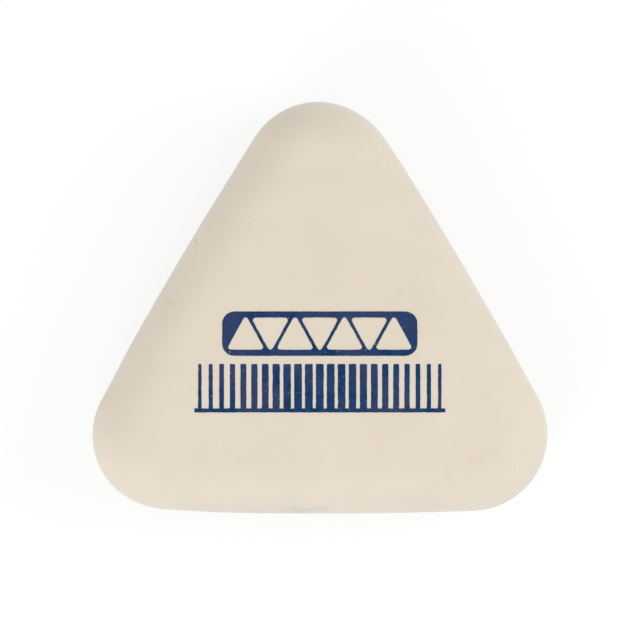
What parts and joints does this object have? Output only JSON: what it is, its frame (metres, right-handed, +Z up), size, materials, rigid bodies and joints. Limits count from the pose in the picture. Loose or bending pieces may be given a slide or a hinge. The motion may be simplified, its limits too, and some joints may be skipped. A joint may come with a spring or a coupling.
{
  "type": "eraser",
  "caption": "Rounded triangular block of cream rubber with soft edges and a blue print on one face, for rubbing out pencil.",
  "frame": {"origin": "on the lower face, under the middle of the outline's width and height", "axes": "+Z up through the thickness to the printed face, +Y towards the apex, +X along the straight lower side"},
  "size_m": [0.0454, 0.0412, 0.0121],
  "materials": {
    "rubber": "matte, fine-grained",
    "ink": "satin printed film"
  },
  "bodies": {
    "root": {"eraser_block": "rubber", "print_bar_row": "ink", "print_triangle_band": "ink"}
  },
  "joints": []
}
